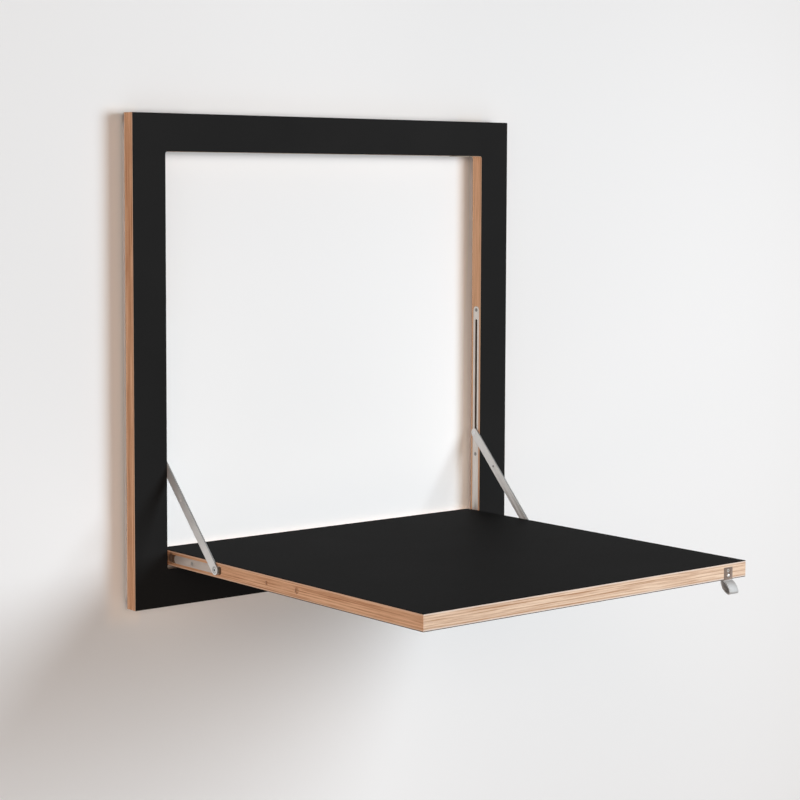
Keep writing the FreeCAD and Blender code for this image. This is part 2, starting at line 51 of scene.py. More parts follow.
class Wire:
    """A socket of a node tree that takes part in sums: each sum adds its Math node."""

    def __init__(self, tree, socket=None):
        self.tree = tree
        self.socket = socket

    def node(self, kind, settings=None, values=None, output=0):
        """Adds a node: first its settings, then the values or links of its sockets."""
        made = self.tree.nodes.new(kind)
        for name, setting in (settings or {}).items():
            setattr(made, name, setting)
        for name, value in (values or {}).items():
            if isinstance(value, Wire):
                self.tree.links.new(value.socket, made.inputs[name])
            else:
                made.inputs[name].default_value = value
        if isinstance(output, tuple):
            return [Wire(self.tree, made.outputs[name]) for name in output]
        return None if output is None else Wire(self.tree, made.outputs[output])

    def maths(self, operation, *others):
        terms = dict(enumerate((self, *others)))
        return self.node("ShaderNodeMath", {"operation": operation}, terms)

    def __add__(self, other):
        return self.maths("ADD", other)

    __radd__ = __add__

    def __mul__(self, other):
        return self.maths("MULTIPLY", other)

    __rmul__ = __mul__

    def __sub__(self, other):
        return self.maths("SUBTRACT", other)

    def __rsub__(self, other):
        return (self * -1.0).maths("ADD", other)

    def __truediv__(self, other):
        return self.maths("DIVIDE", other)

    def __abs__(self):
        return self.maths("ABSOLUTE")

    def __gt__(self, other):
        return self.maths("GREATER_THAN", other)

    def between(self, low, high):
        """0 at low, 1 at high, eased in between."""
        ends = {"Value": self, "From Min": low, "From Max": high}
        return self.node("ShaderNodeMapRange", {"interpolation_type": "SMOOTHSTEP"}, ends)

    def band(self, start, full, fading, end):
        """1 from full to fading, eased down to 0 at start and at end."""
        return self.between(start, full) * (1.0 - self.between(fading, end))

    def axes(self, *names):
        """A vector's parts along the axes of these names."""
        parts = self.node("ShaderNodeSeparateXYZ", values={0: self}, output=names)
        return parts if len(names) > 1 else parts[0]

    def facing(self, axis):
        """How far the surface faces along an axis, from -1 to 1."""
        return self.node("ShaderNodeTexCoord", output="Normal").axes(axis)

    def vector(self, x, y, z):
        return self.node("ShaderNodeCombineXYZ", values={0: x, 1: y, 2: z})

    def noise(self, scale, detail=2.0, roughness=0.5):
        """Cloudy noise from 0 to 1 at this place, with grains of about 1 / scale."""
        values = {"Vector": self, "Scale": scale, "Detail": detail, "Roughness": roughness}
        return self.node("ShaderNodeTexNoise", {}, values)

    def relief(self, strength, depth):
        """The surface's normal once this height, from 0 to 1, stands depth metres proud."""
        values = {"Strength": strength, "Distance": depth, "Height": self}
        return self.node("ShaderNodeBump", {}, values)

    def colour(self, dark, light):
        """A colour from dark, at 0, to light, at 1."""
        ends = {0: self, 6: (*dark, 1.0), 7: (*light, 1.0)}
        return self.node("ShaderNodeMix", {"data_type": "RGBA"}, ends, output=2)

    def laid_over(self, under, colour, blend="MIX"):
        """The wire under with this share of a colour laid over it, or multiplied into it."""
        settings = {"data_type": "RGBA", "blend_type": blend}
        return self.node("ShaderNodeMix", settings, {0: self, 6: under, 7: (*colour, 1.0)}, 2)


def new_finish(name, **constants):
    """A material, the place on its surface, and a function that feeds its shader's sockets."""
    finish = bpy.data.materials.new(name)
    finish.use_nodes = True
    shader = finish.node_tree.nodes["Principled BSDF"]
    for socket, value in constants.items():
        shader.inputs[socket.replace("_", " ")].default_value = value

    def feed(**wires):
        for socket, wire in wires.items():
            finish.node_tree.links.new(wire.socket, shader.inputs[socket.replace("_", " ")])

    place = Wire(finish.node_tree).node("ShaderNodeTexCoord", output="Object")
    return finish, place, feed


def birch_plywood(name, thickness_axis, face, hollows, light_drift=0.0):
    """Birch plywood whose plies are counted from face, along the board's thickness.

    Routed hollows get painted shade, dark brown: hollows gives how much, 0 outside them.
    Cuts that look along X get a painted warm tint of side light; painted light makes +X paler, by
    drift.
    """
    plies, board = 13, 0.018
    brown, cream, outer_veneer = (0.53, 0.285, 0.150), (1.0, 0.775, 0.59), (0.88, 0.75, 0.66)
    glue_line, side_light_tint, hollow_shade = (0.34, 0.175, 0.09), (0.85, 0.66, 0.525), (0.055, 0.032, 0.02)

    finish, place, feed = new_finish(name, Specular_IOR_Level=0.3)
    facing_x = place.facing("X")
    x, y, z = place.axes("X", "Y", "Z")
    depth, sideways = (y, z) if thickness_axis == "Y" else (z, y)
    level = (depth - face) * (plies / board)
    ply = level.maths("FLOOR")
    within = level - ply
    crosswise = ply.maths("FLOORED_MODULO", 2.0)
    end_grain = abs((abs(facing_x) > 0.5) - crosswise)
    along = x + crosswise * (sideways - x)
    across = sideways + crosswise * (x - sideways)

    fibres = place.vector(along * 45.0, depth * 5200.0, across * 2600.0).noise(1.0, 3.0, 0.6)
    figure = place.vector(along * 9.0 + ply * 5.3, ply * 7.7, across * 60.0).noise(1.0)
    bands = place.vector(x * 4.0, level * 0.62, sideways * 4.0).noise(1.0, 1.0)
    streaks = place.vector(x * 16.0, depth * 800.0, sideways * 16.0).noise(1.0, 1.0)
    starved = place.vector(x * 9.0 + 4.0, level * 1.4, sideways * 9.0).noise(1.0, 1.0)
    ply_tone = place.node(
        "ShaderNodeTexWhiteNoise", {"noise_dimensions": "1D"}, {"W": ply + 3.0}, "Value")
    outer = abs(level - plies / 2).between(plies / 2 - 1.3, plies / 2 - 0.9)
    glue = abs(within - 0.5).between(0.40, 0.5) * (1.0 - starved.between(0.35, 0.62) * 0.85)

    tone = 0.72 + (fibres - 0.5) * 0.8 + (figure - 0.5) * 0.7 + (ply_tone - 0.5) * 0.5
    # the term in x paints the wood paler towards +X, as painted light
    tone = tone - end_grain * 0.20 + (bands - 0.5) * 1.5 + (streaks - 0.5) * 1.6 + x * light_drift
    wood = (outer * 0.80).laid_over(tone.colour(brown, cream), outer_veneer)
    wood = (glue * 0.45).laid_over(wood, glue_line)
    # painted warm light on the cuts that face along X
    wood = abs(facing_x).between(0.4, 0.6).laid_over(wood, side_light_tint, "MULTIPLY")
    # painted shade darkens the routed hollows
    feed(Base_Color=hollows(x, y, z).laid_over(wood, hollow_shade))
    feed(Roughness=0.55 + end_grain * 0.15 + fibres * 0.12)
    feed(Normal=(fibres * 0.6 - glue * 0.8 - end_grain * 0.2).relief(0.35, 0.00012))
    return finish


def in_stile(x, y, z):
    """The groove and the channel in each stile's inner edge, from just below its surface."""
    # Painted shade darkens the groove and the channel beside the plate.
    beyond_edge = abs(x).band(0.2543, 0.2550, 0.2985, 0.2990)
    return beyond_edge * z.band(-0.5215, -0.5210, -0.2160, -0.2155) * 0.82


board_front = -0.0262
frame_core = birch_plywood("birch_plywood_frame", "Y", board_front, in_stile, light_drift=0.9)
nodes["frame_plywood"].material_slots[0].material = frame_core


# ---- Frame laminates -------------------------------------------------------------------
# Black high-pressure laminate, 0.8 mm thick, pressed on both faces of the board and trimmed
# flush with it. Its matt face has a fine pearl stipple and rubs slightly glossier in use.

def black_laminate(name, dark, light, core=None):
    """Black laminate. With a core colour its cut edges, which don't face along Y, show it."""
    finish, place, feed = new_finish(name, Specular_IOR_Level=0.01)
    stipple = place.node(
        "ShaderNodeTexVoronoi", {"feature": "SMOOTH_F1"},
        {"Vector": place, "Scale": 1100.0, "Smoothness": 0.6}, "Distance")
    cloud = place.noise(9.0, 4.0)
    speck = place.noise(1900.0)
    colour = (0.35 + (cloud - 0.5) * 0.5 + (speck - 0.5) * 0.7).colour(dark, light)
    if core:
        colour = abs(place.facing("Y")).between(0.7, 0.5).laid_over(colour, core)
    feed(Base_Color=colour)
    feed(Roughness=0.62 + (cloud - 0.5) * 0.10 + (stipple - 0.4) * 0.12)
    feed(Normal=stipple.relief(0.22, 0.00006))
    return finish


frame_black = (0.0136, 0.0136, 0.0138), (0.0260, 0.0258, 0.0254)
core_brown = (0.34, 0.19, 0.11)
nodes["frame_front_laminate"].material_slots[0].material = black_laminate(
    "black_laminate_front", *frame_black)
nodes["frame_rear_laminate"].material_slots[0].material = black_laminate(
    "black_laminate_rear", *frame_black, core_brown)


# ---- Hinge bushes and washers ----------------------------------------------------------
# A turned brass bush lines each hole that the leaf's pin turns in, pressed flush into the
# stile. A moulded nylon washer sits on the pin in the 3 mm gap between stile and leaf.

def eased(node, body, finish, ease, segments=2):
    """The metal or moulded part node again, its sharp edges broken by ease metres."""
    shape = bmesh.new()
    shape.from_mesh(nodes[node].data)
    bmesh.ops.remove_doubles(shape, verts=shape.verts, dist=2e-6)
    bmesh.ops.dissolve_limit(
        shape, angle_limit=math.radians(0.4), verts=shape.verts, edges=shape.edges)
    bmesh.ops.recalc_face_normals(shape, faces=shape.faces)
    mesh = bpy.data.meshes.new(node + "_eased")
    shape.to_mesh(mesh)
    shape.free()
    mesh.shade_smooth()
    mesh.materials.append(finish)
    part = bpy.data.objects.new(node + "_eased", mesh)
    bpy.context.collection.objects.link(part)
    edge = part.modifiers.new("broken edges", "BEVEL")
    edge.width = ease
    edge.segments = segments
    edge.limit_method = "ANGLE"
    edge.angle_limit = math.radians(35.0)
    edge.harden_normals = True
    part.modifiers.new("closed corners", "WELD").merge_threshold = 3e-6
    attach(part, body)
    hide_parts(node)
    return part


def with_patches(colour, place, patches):
    """The colour with soft-edged patches of painted shade and reflection laid over it.

    A patch is a centre in y and z, the radii where it is full and where it ends, its
    strength and its colour. It runs through the part along X.
    """
    across, up = place.axes("Y", "Z")
    for (centre_y, centre_z), full, end, strength, shade in patches:
        square = (across - centre_y).maths("POWER", 2.0) + (up - centre_z).maths("POWER", 2.0)
        share = square.maths("SQRT").between(end, full) * strength
        colour = share.laid_over(colour, shade)
    return colour


def turned_metal(name, dark, light, roughness, axis="X", patches=()):
    """Metal turned in a lathe: fine rings round the part's axis show as bands along it."""
    finish, place, feed = new_finish(name, Metallic=1.0)
    rings = place.node(
        "ShaderNodeTexNoise", {"noise_dimensions": "1D"},
        {"W": place.axes(axis) * 9000.0, "Scale": 1.0})
    stain = place.noise(160.0, 4.0)
    colour = (stain * 0.7 + rings * 0.3).colour(dark, light)
    feed(Base_Color=with_patches(colour, place, patches))
    feed(Roughness=roughness + (rings - 0.5) * 0.2 + (stain - 0.5) * 0.15)
    feed(Normal=rings.relief(0.3, 0.00003))
    return finish


def moulded(name, dark, light, roughness, spark_scale=2200.0):
    """A moulded black part with the fine spark-eroded texture of its tool."""
    finish, place, feed = new_finish(name, Specular_IOR_Level=0.4)
    spark = place.noise(spark_scale, 3.0)
    cloud = place.noise(90.0, 3.0)
    feed(Base_Color=(spark * 0.4 + cloud * 0.6).colour(dark, light))
    feed(Roughness=roughness + (spark - 0.5) * 0.25 + (cloud - 0.5) * 0.15)
    feed(Normal=spark.relief(0.3, 0.00005))
    return finish


brass = turned_metal("turned_brass", (0.55, 0.36, 0.13), (0.80, 0.59, 0.27), 0.3)
nylon = moulded("black_nylon", (0.010, 0.010, 0.011), (0.024, 0.024, 0.025), 0.48)
for side in ("left", "right"):
    eased(f"hinge_bush_{side}", "frame", brass, 0.0003)
    eased(f"hinge_washer_{side}", "frame", nylon, 0.00025)


# ---- Track plates and sliders ----------------------------------------------------------
# A long strip of satin nickel-plated steel is let into each stile's inner edge. The stay's
# pin runs in its slot, held behind it by a moulded nylon block that slides in the channel.

def brushed_steel(
        name, dark, light, roughness, run=(0.0, 0.0, 1.0), scuffs=0.3, metallic=0.6,
        edge_darkening=0.0, patches=()):
    """Plated steel strip with its brushing along run, clouded a little by handling.

    Narrow edges, which don't look along X, are painted darker than those faces, by sheared.
    """
    finish, place, feed = new_finish(name, Metallic=metallic)
    turn = Vector((1.0, 0.0, 0.0)).rotation_difference(Vector(run)).inverted().to_euler()
    laid = place.node("ShaderNodeMapping", {}, {"Vector": place, "Rotation": tuple(turn)})
    along, across, through = laid.axes("X", "Y", "Z")
    strokes = place.vector(along * 60.0, across * 7000.0, through * 7000.0).noise(1.0, 4.0, 0.65)
    cloud = place.noise(70.0, 5.0)
    worn = place.noise(900.0).between(0.62, 0.75) * scuffs
    tone = 0.5 + (strokes - 0.5) * 0.6 + (cloud - 0.5) * 0.8 - worn
    colour = with_patches(tone.colour(dark, light), place, patches)
    # painted darkening of the narrow edges
    if edge_darkening:
        narrow_edge = abs(place.facing("X")).between(0.8, 0.35)
        colour = (narrow_edge * edge_darkening).laid_over(colour, (0.10, 0.098, 0.095))
    feed(Base_Color=colour)
    feed(Roughness=roughness + (strokes - 0.5) * 0.16 + (cloud - 0.5) * 0.18 + worn * 0.2)
    feed(Normal=strokes.relief(0.25, 0.00004))
    return finish


upright_strip = brushed_steel(
    "plate_steel_upright", (0.65, 0.605, 0.56), (0.90, 0.85, 0.80), 0.52)
for side in ("left", "right"):
    eased(f"track_plate_{side}", "frame", upright_strip, 0.00022)
    eased(f"slider_{side}", f"slider_{side}", nylon, 0.0003)


# ---- Strike plate ----------------------------------------------------------------------
# A small plate of browned steel, 0.8 mm thick, screwed to the underside of the top rail. The
# leaf's ball drops into its hole when the table is shut.

cross_strip = brushed_steel(
    "plate_steel_crosswise", (0.28, 0.23, 0.18), (0.42, 0.35, 0.28), 0.6, run=(1.0, 0.0, 0.0))
eased("strike_plate", "frame", cross_strip, 0.00018)


# ---- Screws in the frame and the leaf --------------------------------------------------
# Zinc-plated steel wood screws with a cross recess, each driven to its own angle. Countersunk
# heads sit flush in the plates and at the foot of the bumpers' wells. Pan heads hold the hook
# rail.

def screw_tree():
    """Sets a screw on each vertex of a mesh, its head towards the vertex's outward."""
    tree = bpy.data.node_groups.new("wood_screw", "GeometryNodeTree")
    sockets = {}
    for name, kind in (
        ("Places", "NodeSocketGeometry"), ("Head Radius", "NodeSocketFloat"),
        ("Dome Height", "NodeSocketFloat"), ("Sink Depth", "NodeSocketFloat"),
        ("Shank Radius", "NodeSocketFloat"), ("Length", "NodeSocketFloat"),
        ("Pitch", "NodeSocketFloat"), ("Turn Seed", "NodeSocketInt"),
        ("Finish", "NodeSocketMaterial"),
    ):
        socket = tree.interface.new_socket(name, in_out="INPUT", socket_type=kind)
        sockets[name] = socket.identifier
    tree.interface.new_socket("Screws", in_out="OUTPUT", socket_type="NodeSocketGeometry")
    start = tree.nodes.new("NodeGroupInput")
    end = tree.nodes.new("NodeGroupOutput")
    given = {socket.name: Wire(tree, socket) for socket in start.outputs if socket.name}
    build = given["Places"]
    head_radius, dome, sink = given["Head Radius"], given["Dome Height"], given["Sink Depth"]
    shank, length, pitch = given["Shank Radius"], given["Length"], given["Pitch"]

    # one sheet of quads is rolled into the screw: its rows run from the head's middle to the tip
    columns, head_rows, thread_rows = 20, 8, 66
    rows = head_rows + 1 + thread_rows
    sheet = build.node("GeometryNodeMeshGrid", values={
        "Size X": float(columns), "Size Y": float(rows - 1),
        "Vertices X": columns + 1, "Vertices Y": rows})
    where = build.node("GeometryNodeInputPosition")
    column, row = where.axes("X", "Y")
    column = (column + columns / 2).maths("ROUND")
    row = (row + (rows - 1) / 2).maths("ROUND")
    angle = column * (2 * math.pi / columns)
    sweep = (row / float(head_rows)).maths("MINIMUM", 1.0) * (math.pi / 2)
    below = (row - float(head_rows + 1)).maths("MAXIMUM", 0.0) / float(thread_rows - 1)
    on_shank = row > head_rows + 0.5
    drop = sink + below * (length - sink)
    winding = (drop / pitch + column / float(columns)).maths("FRACT")
    ridge = (1.0 - abs(winding - 0.5) * 3.2).maths("MAXIMUM", 0.0) * below.between(0.12, 0.2)
    point = ((1.0 - below) * 7.0).maths("MINIMUM", 1.0)
    body_radius = shank * (0.70 + ridge * 0.28 + (1.0 - below.between(0.0, 0.2)) * 0.26) * point
    radius = head_radius * sweep.maths("SINE") * (1.0 - on_shank) + body_radius * on_shank
    height = dome * sweep.maths("COSINE") * (1.0 - on_shank) - drop * on_shank
    rolled = build.vector(radius * angle.maths("COSINE"), radius * angle.maths("SINE"), height)
    solid = build.node("GeometryNodeSetPosition", values={"Geometry": sheet, "Position": rolled})
    solid = build.node(
        "GeometryNodeMergeByDistance", values={"Geometry": solid, "Distance": 2e-6})

    # the cross recess is two crossed wedges cut out of the head
    recess_depth = dome * 0.75 + sink * 0.8
    wedge = build.node("GeometryNodeMeshCone", {"fill_type": "NGON"}, {
        "Vertices": 4, "Side Segments": 1, "Fill Segments": 1, "Radius Top": head_radius * 0.16,
        "Radius Bottom": head_radius * 0.66, "Depth": recess_depth}, "Mesh")
    wedge = build.node("GeometryNodeTransform", values={
        "Geometry": wedge, "Rotation": (math.pi, 0.0, 0.0), "Scale": (1.0, 0.34, 1.0)})
    lift = build.vector(0.0, 0.0, dome + 0.00012)
    cutting = tree.nodes.new("GeometryNodeMeshBoolean")
    cutting.operation = "DIFFERENCE"
    cutting.solver = "EXACT"
    tree.links.new(solid.socket, cutting.inputs["Mesh 1"])
    for quarter in (0.0, math.pi / 2):
        cut = build.node("GeometryNodeTransform", values={
            "Geometry": wedge, "Rotation": (0.0, 0.0, quarter), "Translation": lift})
        tree.links.new(cut.socket, cutting.inputs["Mesh 2"])
    screw = build.node("GeometryNodeSetShadeSmooth", values={
        "Geometry": Wire(tree, cutting.outputs["Mesh"]), "Shade Smooth": True})
    cut_x, cut_y, cut_z = where.axes("X", "Y", "Z")
    from_axis = (cut_x * cut_x + cut_y * cut_y).maths("SQRT")
    sunk = (head_radius * 0.62 > from_axis) * (dome * 0.8 - 0.0001 > cut_z)
    sunk = sunk * (cut_z > dome - recess_depth - 0.0001)
    screw = build.node(
        "GeometryNodeStoreNamedAttribute", {"data_type": "FLOAT", "domain": "POINT"},
        {"Geometry": screw, "Name": "sunk", "Value": sunk})

    outward = build.node(
        "GeometryNodeInputNamedAttribute", {"data_type": "FLOAT_VECTOR"},
        {"Name": "outward"}, "Attribute")
    aimed = build.node("FunctionNodeAlignRotationToVector", {"axis": "Z"}, {"Vector": outward})
    chance = build.node(
        "FunctionNodeRandomValue", {"data_type": "FLOAT"},
        {2: 0.0, 3: math.pi / 2, "Seed": given["Turn Seed"]}, 1)
    driven = build.node(
        "FunctionNodeRotateRotation", {"rotation_space": "LOCAL"},
        {"Rotation": aimed, "Rotate By": build.vector(0.0, 0.0, chance)})
    placed = build.node("GeometryNodeInstanceOnPoints", values={
        "Points": given["Places"], "Instance": screw, "Rotation": driven})
    real = build.node("GeometryNodeRealizeInstances", values={"Geometry": placed})
    plated = build.node("GeometryNodeSetMaterial", values={
        "Geometry": real, "Material": given["Finish"]})
    tree.links.new(plated.socket, end.inputs[0])
    return tree, sockets


def screws(name, node, body, places, plating, head, dome, sink, shank, length, seed):
    """One mesh of all the screws of one kind. A place is a point and the way its head faces."""
    mesh = bpy.data.meshes.new(name + "_places")
    mesh.from_pydata([point for point, way in places], [], [])
    ways = mesh.attributes.new("outward", "FLOAT_VECTOR", "POINT")
    ways.data.foreach_set("vector", [share for point, way in places for share in way])
    part = bpy.data.objects.new(name, mesh)
    bpy.context.collection.objects.link(part)
    setting = part.modifiers.new("screws", "NODES")
    setting.node_group = wood_screw
    for socket, value in (
        ("Head Radius", head), ("Dome Height", dome), ("Sink Depth", sink),
        ("Shank Radius", shank), ("Length", length), ("Pitch", 0.00115),
        ("Turn Seed", seed), ("Finish", plating),
    ):
        setting[wood_screw_sockets[socket]] = value
    bpy.context.view_layer.update()
    evaluated = part.evaluated_get(bpy.context.evaluated_depsgraph_get())
    part.data = bpy.data.meshes.new_from_object(evaluated)
    part.modifiers.remove(setting)
    part.data.name = name
    bpy.data.meshes.remove(mesh)
    shape = bmesh.new()
    shape.from_mesh(part.data)
    bmesh.ops.remove_doubles(shape, verts=shape.verts, dist=3e-6)
    if shape.calc_volume(signed=True) < 0.0:
        bmesh.ops.reverse_faces(shape, faces=shape.faces)
    shape.to_mesh(part.data)
    shape.free()
    part.data.set_sharp_from_angle(angle=math.radians(38.0))
    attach(part, body)
    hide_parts(node)


def screw_plating(name, dark, light, recess_shade):
    """Dull zinc, painted darker by soiled in the cross recess: painted shade."""
    finish, place, feed = new_finish(name, Metallic=0.8)
    sunk = place.node("ShaderNodeAttribute", {"attribute_name": "sunk"}, output="Fac")
    bloom = place.noise(600.0, 4.0)
    stain = place.noise(160.0, 3.0)
    plating = (bloom * 0.5 + stain * 0.5).colour(dark, light)
    feed(Base_Color=(sunk * recess_shade).laid_over(plating, (0.015, 0.014, 0.013)))
    feed(Roughness=0.36 + bloom * 0.16 + sunk * 0.2)
    feed(Normal=bloom.relief(0.3, 0.00003))
    return finish


wood_screw, wood_screw_sockets = screw_tree()
dull_zinc = screw_plating("screw_steel_dull", (0.20, 0.19, 0.18), (0.50, 0.48, 0.45), 0.93)
pale_zinc = screw_plating("screw_steel_pale", (0.42, 0.39, 0.36), (0.68, 0.64, 0.59), 0.55)
small = {"head": 0.0027, "dome": 0.0, "sink": 0.0014, "shank": 0.0013, "length": 0.014}
fine = {"head": 0.0022, "dome": 0.0, "sink": 0.0011, "shank": 0.0011, "length": 0.014}
pan = {"head": 0.003, "dome": 0.0016, "sink": 0.0, "shank": 0.0016, "length": 0.015}
left, right, down, back, front = (-1, 0, 0), (1, 0, 0), (0, 0, -1), (0, 1, 0), (0, -1, 0)
stile_x, board_middle, leaf_x, hinge_z = 0.254, -0.0172, 0.251, -0.5082
strike_y, strike_z, hook_y, hook_z = -0.0199, -0.0148, -0.0059, 0.02325
screws(
    "track_plate_screws", "track_screws", "frame",
    [((side * stile_x, board_middle, height), left if side > 0 else right)
     for side in (-1, 1) for height in (-0.4215, -0.2232)],
    dull_zinc, seed=4, **small)
screws(
    "base_plate_wood_screws", "base_plate_screws", "leaf",
    [((-leaf_x, -0.0762, hinge_z), left), ((leaf_x, -0.0762, hinge_z), right)],
    pale_zinc, seed=7, **small)
screws(
    "strike_plate_screws", "strike_screws", "frame",
    [((across, strike_y, strike_z), down) for across in (0.211, 0.230)],
    dull_zinc, seed=2, **small)
screws(
    "hook_rail_pan_screws", "hook_rail_screws", "frame",
    [((across, hook_y, hook_z), back) for across in (-0.18, -0.06, 0.06, 0.18)],
    dull_zinc, seed=9, **pan)
screws(
    "bumper_wood_screws", "bumper_screws", "frame",
    [((across, -0.002, -0.547), back) for across in (-0.270, 0.270)],
    dull_zinc, seed=5, **small)
screws(
    "catch_wood_screw", "catch_screw", "leaf", [((0.2205, -0.5094, -0.5074), front)],
    pale_zinc, seed=12, **fine)


# ---- Wall rail and hook rail -----------------------------------------------------------
# Two thin Z sections of drawn aluminium, sawn to length. The wall rail is screwed to the
# wall and the hook rail to the frame's back, and the one drops over the other.

drawn_aluminium = brushed_steel(
    "rail_aluminium", (0.60, 0.61, 0.62), (0.78, 0.79, 0.80), 0.38,
    run=(1.0, 0.0, 0.0), scuffs=0.5)
eased("wall_rail", "frame", drawn_aluminium, 0.0002)
eased("frame_hook_rail", "frame", drawn_aluminium, 0.0002)


# ---- Wall bumpers ----------------------------------------------------------------------
# Moulded rubber feet screwed to the lower corners of the frame's back, each in a sunk well.
# They keep the frame as far off the wall as the rails do at its top.

rubber = moulded("bumper_rubber", (0.012, 0.012, 0.012), (0.032, 0.031, 0.030), 0.75, 1200.0)
for side in ("left", "right"):
    eased(f"wall_bumper_{side}", "frame", rubber, 0.0006, segments=3)


# ---- Leaf plywood and laminates --------------------------------------------------------
# The leaf is cut from the same birch board as the frame, with black laminate above and below.
# Its sides have grooves for the steel strips, and shallow recesses that clear the dimples and
# the pins of the stays when it is shut.

def in_leaf_side(x, y, z):
    """The groove in each side edge of the leaf up to the plate's front end, and the recesses.

    Painted shade darkens them, and the edge round where the groove ends behind the plate.
    """
    below_edge = abs(x).between(0.2508, 0.2501) * y.between(-0.5070, -0.5065)
    in_groove = y.band(-0.1356, -0.1350, -0.0095, -0.0090)
    in_recess = 1.0 - y.between(-0.1500, -0.1490)
    # painted shade round the groove's rear end near the hinge
    from_end = (y + 0.0300).maths("POWER", 2.0) + (z + 0.5078).maths("POWER", 2.0)
    hinge_end_shade = from_end.maths("SQRT").between(0.0085, 0.0040) * 0.9
    return (below_edge * (in_groove * 0.82 + in_recess * 0.25)).maths("MAXIMUM", hinge_end_shade)


board_foot = -0.5172
leaf_core = birch_plywood("birch_plywood_leaf", "Z", board_foot, in_leaf_side)
nodes["leaf_plywood"].material_slots[0].material = leaf_core
leaf_laminate = black_laminate(
    "black_laminate_leaf", (0.0083, 0.0083, 0.0085), (0.0156, 0.0154, 0.0151))
for name in ("leaf_top_laminate", "leaf_bottom_laminate"):
    nodes[name].material_slots[0].material = leaf_laminate


# ---- Hinge pins, base plates and rivets ------------------------------------------------
# Ground steel pins are driven into the leaf's sides near its rear. In front of each a steel
# strip is let in flush, and a turned rivet through it carries the stay.

rivet_y = -0.1272
# Painted shade: the plate darkens round its end beyond the arm, the rivet in its hollow middle.
plate_end_shade, rivet_hollow_shade = (0.11, 0.06, 0.02), (0.02, 0.02, 0.02)
ground_steel = turned_metal("pin_steel", (0.42, 0.41, 0.40), (0.66, 0.65, 0.63), 0.3)
level_strip = brushed_steel(
    "plate_steel_level", (0.51, 0.44, 0.39), (0.72, 0.64, 0.58), 0.55,
    run=(0.0, 1.0, 0.0), metallic=0.35,
    patches=[((rivet_y - 0.0065, hinge_z), 0.0034, 0.0046, 0.92, plate_end_shade)])
rivet_steel = turned_metal(
    "rivet_steel", (0.58, 0.57, 0.56), (0.80, 0.79, 0.77), 0.34,
    patches=[((rivet_y, hinge_z), 0.0009, 0.0014, 0.92, rivet_hollow_shade)])
for side in ("left", "right"):
    eased(f"hinge_pin_{side}", "leaf", ground_steel, 0.0003)
    eased(f"stay_base_plate_{side}", "leaf", level_strip, 0.00018)
    eased(f"stay_rivet_{side}", "leaf", rivet_steel, 0.00015)


# ---- Stay arms and their pins ----------------------------------------------------------
# Flat arms stamped from 2 mm steel with round ends and a pressed dimple, tumbled and plated.
# The lower end turns on the leaf's rivet, and a pin in the upper end runs in the track.

arm_run, dimple_distance = (0.0, 0.6875, 0.7262), 0.102
dimple = (rivet_y + dimple_distance * arm_run[1], hinge_z + dimple_distance * arm_run[2])
# Painted shade: a ring on the arm round the rivet, and the dimple, darker on the right arm.
rivet_ring_shade, dimple_shade = (0.10, 0.095, 0.09), (0.08, 0.08, 0.08)
pin_end_steel = turned_metal(
    "pin_end_steel", (0.62, 0.615, 0.61), (0.82, 0.815, 0.81), 0.36)
for side, dimple_shade_strength in (("left", 0.35), ("right", 0.9)):
    arm_steel = brushed_steel(
        f"stay_steel_{side}", (0.72, 0.722, 0.715), (0.92, 0.922, 0.915), 0.44,
        run=arm_run, metallic=0.35, edge_darkening=0.7,
        patches=[
            ((rivet_y, hinge_z), 0.0039, 0.0044, 0.55, rivet_ring_shade),
            (dimple, 0.0008, 0.0020, dimple_shade_strength, dimple_shade)])
    eased(f"stay_arm_{side}", f"stay_arm_{side}", arm_steel, 0.0003, segments=3)
    eased(f"stay_pin_{side}", f"stay_arm_{side}", pin_end_steel, 0.0002)


# ---- Catch -----------------------------------------------------------------------------
# One steel strip is screwed to the leaf's front edge and folded into a finger loop below it.
# A sprung ball in a brass barrel behind it snaps into the strike plate.

# The flat plate is painted darker and browner than the loop: a painted reflection of dark
# surroundings.
plate_middle, plate_dark_reflection = (-0.509, -0.5085), (0.215, 0.142, 0.102)
pull_steel = brushed_steel(
    "pull_steel", (0.42, 0.415, 0.41), (0.60, 0.595, 0.585), 0.6, scuffs=0.5, metallic=0.5,
    patches=[(plate_middle, 0.0095, 0.0105, 0.88, plate_dark_reflection)])
ball_steel = turned_metal("ball_steel", (0.74, 0.73, 0.72), (0.86, 0.85, 0.84), 0.34)
spring_steel = turned_metal(
    "spring_steel", (0.30, 0.30, 0.31), (0.50, 0.50, 0.50), 0.34, axis="Y")
eased("catch_pull", "leaf", pull_steel, 0.0002)
eased("catch_barrel", "leaf", brass, 0.0002)
nodes["catch_ball"].material_slots[0].material = ball_steel
coil = eased("catch_spring", "leaf", spring_steel, 0.00004)
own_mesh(coil)


# ---- Room ------------------------------------------------------------------------------
# A pale plastered wall behind the frame and a pale floor below it. Each shows from the
# front only, so that the other side of the table can be looked at too.

